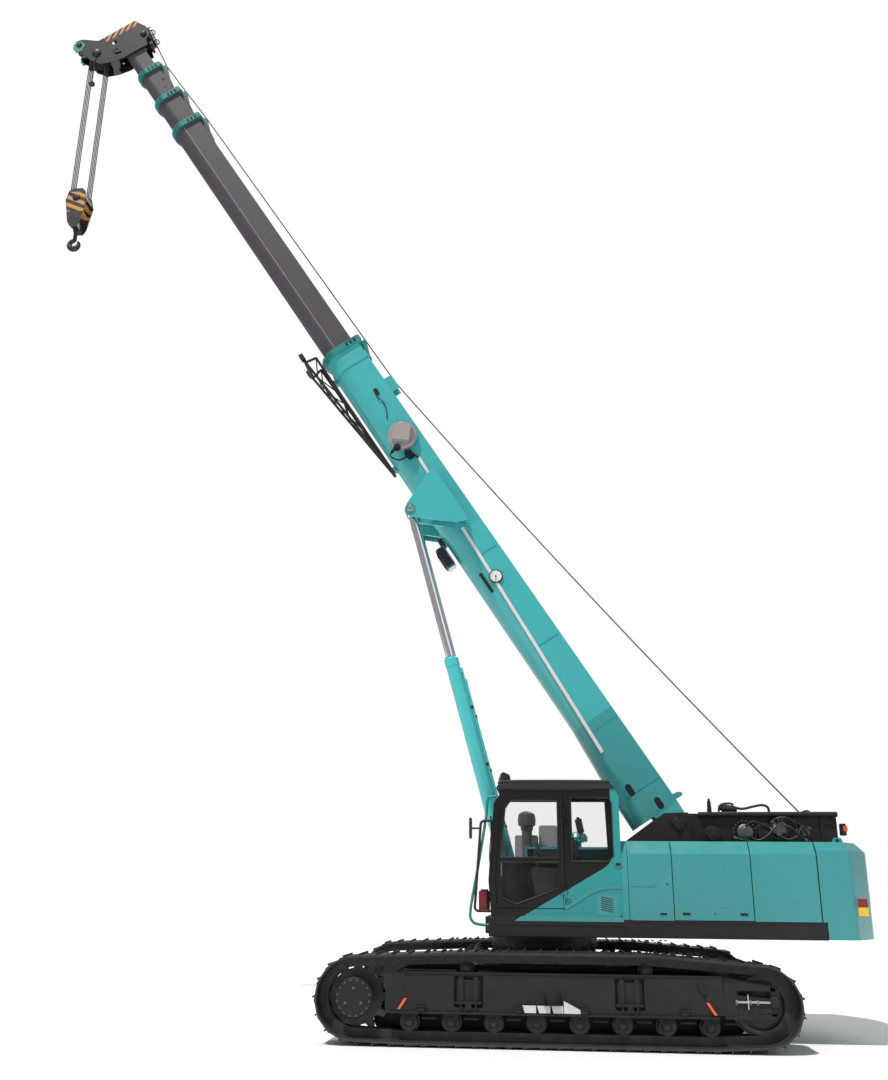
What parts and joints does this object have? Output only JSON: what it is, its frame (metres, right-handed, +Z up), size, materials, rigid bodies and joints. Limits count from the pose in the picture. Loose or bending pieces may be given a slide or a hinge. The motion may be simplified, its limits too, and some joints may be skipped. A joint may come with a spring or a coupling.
{
  "type": "crawler crane",
  "caption": "Telescopic-boom crane on tracks: slewing upper deck with cab, counterweight, luffing cylinders, sliding boom sections and a hook block on rope falls.",
  "frame": {"origin": "on the ground, on the slewing axis", "axes": "+X towards the boom head at rest (front), +Y to the cab side (left), +Z up"},
  "size_m": [12.3762, 3.95, 16.8902],
  "materials": {
    "teal_paint": "satin paint",
    "dark_paint": "satin paint",
    "boom_grey": "satin paint",
    "track_steel": "worn cast steel",
    "counterweight_paint": "painted casting",
    "chrome_rod": "polished",
    "cab_glass": "clear",
    "seat_cloth": "woven",
    "cab_plastic": "moulded",
    "wire_rope": "stranded wire",
    "reel_grey": "satin paint",
    "hook_steel": "painted forging",
    "rope_marker": "satin paint"
  },
  "bodies": {
    "undercarriage": {"carbody": "dark_paint", "slewing_ring": "track_steel"},
    "left_track_unit": {"left_track": "track_steel", "left_sprocket": "track_steel", "left_idler": "track_steel", "left_rollers": "track_steel", "left_track_frame": "dark_paint"},
    "right_track_unit": {"right_track": "track_steel", "right_sprocket": "track_steel", "right_idler": "track_steel", "right_rollers": "track_steel", "right_track_frame": "dark_paint"},
    "superstructure": {"turntable_frame": "dark_paint", "left_housing": "teal_paint", "right_housing": "teal_paint", "tool_locker": "teal_paint", "counterweight": "counterweight_paint", "engine_block": "track_steel", "winch_reducers": "dark_paint", "cab_shell": "teal_paint", "cab_glazing": "cab_glass", "operator_seat": "seat_cloth", "control_consoles": "cab_plastic", "cab_rails": "dark_paint"},
    "left_bay_door": {"left_bay_door": "teal_paint"},
    "right_bay_door": {"right_bay_door": "teal_paint"},
    "cab_door": {"cab_door": "teal_paint", "door_glass": "cab_glass"},
    "main_winch": {"main_winch": "wire_rope"},
    "aux_winch": {"aux_winch": "wire_rope"},
    "boom_base": {"boom_base": "teal_paint", "cable_reel": "reel_grey", "angle_dial": "cab_plastic", "stowed_jib": "dark_paint"},
    "section_2": {"boom_section_2": "boom_grey"},
    "section_3": {"boom_section_3": "boom_grey"},
    "section_4": {"boom_section_4": "boom_grey"},
    "section_5": {"boom_section_5": "boom_grey", "boom_head": "dark_paint", "head_sheaves": "track_steel"},
    "hoist_line": {"hoist_falls": "wire_rope", "over_hoist_weight": "rope_marker"},
    "hook_block": {"hook_block": "hook_steel"},
    "hook": {"crane_hook": "hook_steel"},
    "luffing_barrels": {"luffing_barrels": "teal_paint"},
    "luffing_rods": {"luffing_rods": "chrome_rod"}
  },
  "joints": [
    {"name": "left_track_slide", "type": "slide", "parent": "undercarriage", "child": "left_track_unit", "axis": [0, 1, 0], "range_m": [-0.5, 0]},
    {"name": "right_track_slide", "type": "slide", "parent": "undercarriage", "child": "right_track_unit", "axis": [0, -1, 0], "range_m": [-0.5, 0]},
    {"name": "slew", "type": "hinge", "parent": "undercarriage", "child": "superstructure", "pos_m": [0, 0, 1.1], "axis": [0, 0, 1], "continuous": true},
    {"name": "left_bay_hinge", "type": "hinge", "parent": "superstructure", "child": "left_bay_door", "pos_m": [-1.55, 1.45, 1.8], "axis": [0, 0, -1], "range_deg": [0, 110]},
    {"name": "right_bay_hinge", "type": "hinge", "parent": "superstructure", "child": "right_bay_door", "pos_m": [-1.55, -1.45, 1.8], "axis": [0, 0, 1], "range_deg": [0, 110]},
    {"name": "cab_door_hinge", "type": "hinge", "parent": "superstructure", "child": "cab_door", "pos_m": [-0.276, 1.476, 2], "axis": [0, 0, 1], "range_deg": [0, 168]},
    {"name": "main_winch_turn", "type": "hinge", "parent": "superstructure", "child": "main_winch", "pos_m": [-2.9, 0, 2.42], "axis": [0, 1, 0], "continuous": true},
    {"name": "aux_winch_turn", "type": "hinge", "parent": "superstructure", "child": "aux_winch", "pos_m": [-2.23, 0, 2.4], "axis": [0, 1, 0], "continuous": true},
    {"name": "boom_luff", "type": "hinge", "parent": "superstructure", "child": "boom_base", "pos_m": [-1.77, 0, 2.53], "axis": [0, -1, 0], "range_deg": [-57.3, 22.7]},
    {"name": "section_2_slide", "type": "slide", "parent": "boom_base", "child": "section_2", "axis": [0.5402, 0, 0.8415], "range_m": [-4.68, 0]},
    {"name": "section_3_slide", "type": "slide", "parent": "section_2", "child": "section_3", "axis": [0.5402, 0, 0.8415], "range_m": [0, 4.8]},
    {"name": "section_4_slide", "type": "slide", "parent": "section_3", "child": "section_4", "axis": [0.5402, 0, 0.8415], "range_m": [0, 4.8]},
    {"name": "section_5_slide", "type": "slide", "parent": "section_4", "child": "section_5", "axis": [0.5402, 0, 0.8415], "range_m": [0, 4.8]},
    {"name": "hoist_hang", "type": "hinge", "parent": "section_5", "child": "hoist_line", "pos_m": [7.84949, 0, 16.19966], "axis": [0, -1, 0], "range_deg": [-22.7, 57.3]},
    {"name": "hook_hoist", "type": "slide", "parent": "hoist_line", "child": "hook_block", "axis": [0, 0, -1], "range_m": [-2, 6], "deforming": ["hoist_falls"]},
    {"name": "hook_swivel", "type": "hinge", "parent": "hook_block", "child": "hook", "pos_m": [7.84949, 0, 12.3], "axis": [0, 0, 1], "continuous": true},
    {"name": "barrel_tilt", "type": "hinge", "parent": "superstructure", "child": "luffing_barrels", "pos_m": [0.38, 0, 1.64], "axis": [0, -1, 0], "range_deg": [-62, 24.6]},
    {"name": "rod_slide", "type": "slide", "parent": "luffing_barrels", "child": "luffing_rods", "axis": [0.2612, 0, 0.9653], "range_m": [-1.96, 0.78]}
  ],
  "couplings": [
    {"joint": "section_4_slide", "follows": "section_3_slide", "ratio": 1},
    {"joint": "section_5_slide", "follows": "section_3_slide", "ratio": 1},
    {"joint": "hoist_hang", "follows": "boom_luff", "ratio": -1},
    {"joint": "barrel_tilt", "follows": "boom_luff", "ratio": 1.08},
    {"joint": "rod_slide", "follows": "boom_luff", "m_per_rad": 1.95}
  ]
}
